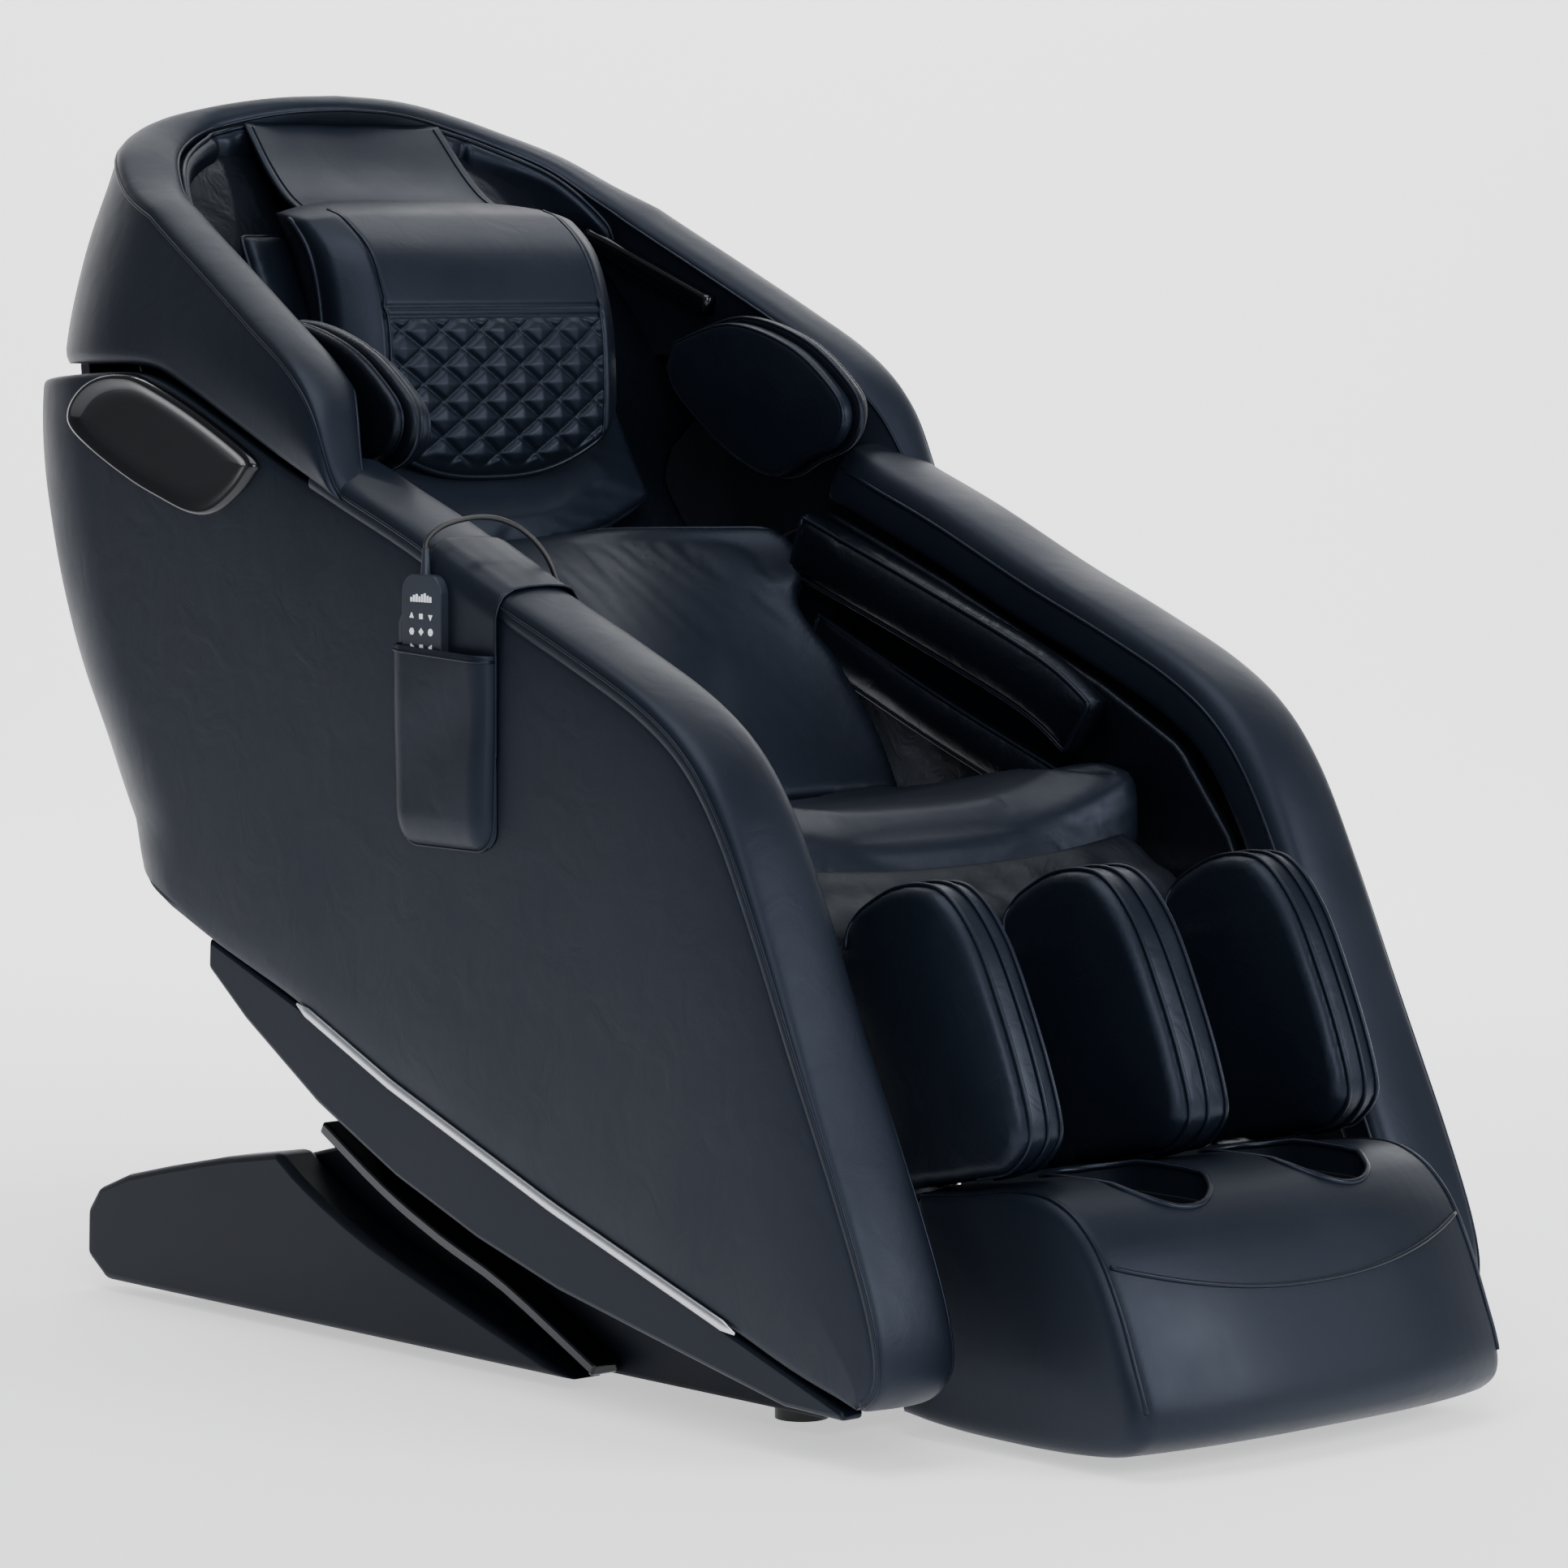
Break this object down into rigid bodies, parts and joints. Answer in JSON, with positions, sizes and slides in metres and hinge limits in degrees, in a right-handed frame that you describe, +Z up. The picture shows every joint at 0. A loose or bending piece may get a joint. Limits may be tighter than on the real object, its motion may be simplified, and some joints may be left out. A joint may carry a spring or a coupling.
{
  "type": "massage chair",
  "caption": "Reclining massage chair with a scooped hood, padded side arms, a lifting calf unit, a sliding foot box and a handset in a side pocket.",
  "frame": {"origin": "on the floor under the middle of the chair's outer box", "axes": "+Z up, the sitter faces -Y, the sitter's right is -X"},
  "size_m": [0.7787, 1.4695, 1.19],
  "materials": {
    "navy_leather": "soft matte grain",
    "black_leather": "soft matte grain",
    "lining_fabric": "matt knit",
    "satin_plastic": "fine texture",
    "gloss_plastic": "piano gloss",
    "silver_trim": "satin",
    "black_rubber": "moulded",
    "frame_steel": "black powder coat",
    "bright_steel": "ground",
    "white_print": "printed"
  },
  "bodies": {
    "base": {"base_frame": "frame_steel", "base_shroud": "satin_plastic", "base_cover_left": "satin_plastic", "base_cover_right": "satin_plastic", "glide_rails": "gloss_plastic", "base_feet": "black_rubber", "power_inlet": "satin_plastic", "tilt_shaft": "bright_steel"},
    "switch": {"power_switch": "satin_plastic"},
    "wheels": {"transport_wheels": "black_rubber"},
    "carriage": {"seat_frame": "frame_steel", "seat_cushion": "navy_leather", "seat_apron": "lining_fabric", "recline_shaft": "bright_steel", "leg_shaft": "bright_steel", "arm_pins": "bright_steel"},
    "backrest": {"back_frame": "frame_steel", "back_shell": "black_leather", "hood_shell": "navy_leather", "hood_corner_pads": "black_leather", "wing_trim_bars": "gloss_plastic", "shoulder_airbag_left": "black_leather", "shoulder_airbag_right": "black_leather", "upper_back_pad": "navy_leather", "lumbar_pad": "navy_leather"},
    "head_cushion": {"pillow_flap": "navy_leather", "pillow": "navy_leather"},
    "massage_unit": {"massage_carriage": "frame_steel"},
    "massage_arms": {"massage_arms": "satin_plastic", "massage_rollers": "black_rubber"},
    "arm_left": {"arm_panel_left": "navy_leather", "arm_band_left": "navy_leather", "arm_lining_left": "black_leather", "forearm_airbag_left": "black_leather", "hand_airbag_left": "black_leather", "arm_trim_left": "satin_plastic", "light_strip_left": "silver_trim", "vent_cover_left": "gloss_plastic"},
    "arm_right": {"arm_panel_right": "navy_leather", "arm_band_right": "navy_leather", "arm_lining_right": "black_leather", "forearm_airbag_right": "black_leather", "hand_airbag_right": "black_leather", "arm_trim_right": "satin_plastic", "light_strip_right": "silver_trim", "vent_cover_right": "gloss_plastic", "handset_pocket": "navy_leather", "cord_gland": "black_rubber", "handset_cord": "black_rubber"},
    "leg_rest": {"calf_frame": "frame_steel", "calf_fin_left": "navy_leather", "calf_fin_middle": "navy_leather", "calf_fin_right": "navy_leather", "foot_slide_rods": "bright_steel"},
    "foot_rest": {"foot_box": "navy_leather", "foot_well_linings": "lining_fabric", "foot_rollers": "black_rubber"},
    "handset": {"handset_case": "gloss_plastic", "handset_screen": "white_print", "handset_keys": "white_print"}
  },
  "joints": [
    {"name": "zero_gravity", "type": "hinge", "parent": "base", "child": "carriage", "pos_m": [0, 0.11, 0.15], "axis": [-1, 0, 0], "range_deg": [0, 13]},
    {"name": "recline", "type": "hinge", "parent": "carriage", "child": "backrest", "pos_m": [0, 0.07, 0.4], "axis": [-1, 0, 0], "range_deg": [0, 21]},
    {"name": "arm_follow_left", "type": "hinge", "parent": "carriage", "child": "arm_left", "pos_m": [0, -0.265, 0.28], "axis": [-1, 0, 0], "range_deg": [0, 14]},
    {"name": "arm_follow_right", "type": "hinge", "parent": "carriage", "child": "arm_right", "pos_m": [0, -0.265, 0.28], "axis": [-1, 0, 0], "range_deg": [0, 14]},
    {"name": "leg_lift", "type": "hinge", "parent": "carriage", "child": "leg_rest", "pos_m": [0, -0.285, 0.415], "axis": [-1, 0, 0], "range_deg": [0, 75]},
    {"name": "foot_extend", "type": "slide", "parent": "leg_rest", "child": "foot_rest", "axis": [0, -0.4191, -0.908], "range_m": [0, 0.1]},
    {"name": "massage_travel", "type": "slide", "parent": "backrest", "child": "massage_unit", "axis": [0, 0.5291, 0.8486], "range_m": [0, 0.18]},
    {"name": "massage_tap", "type": "hinge", "parent": "massage_unit", "child": "massage_arms", "pos_m": [0, 0.50722, 0.80993], "axis": [-1, 0, 0], "range_deg": [-5, 5]},
    {"name": "pillow_lift", "type": "hinge", "parent": "backrest", "child": "head_cushion", "pos_m": [0, 0.662, 1.15], "axis": [-1, 0, 0], "range_deg": [0, 45]},
    {"name": "handset_lift", "type": "slide", "parent": "arm_right", "child": "handset", "axis": [0, 0, 1], "range_m": [0, 0.07], "deforming": ["handset_cord"]},
    {"name": "wheel_spin", "type": "hinge", "parent": "base", "child": "wheels", "pos_m": [0, 0.6, 0.027], "axis": [1, 0, 0], "continuous": true},
    {"name": "switch_rock", "type": "hinge", "parent": "base", "child": "switch", "pos_m": [0.181, 0.566, 0.052], "axis": [1, 0, 0], "range_deg": [-6, 6]}
  ],
  "couplings": [
    {"joint": "arm_follow_left", "follows": "recline", "ratio": 0.62},
    {"joint": "arm_follow_right", "follows": "recline", "ratio": 0.62}
  ]
}
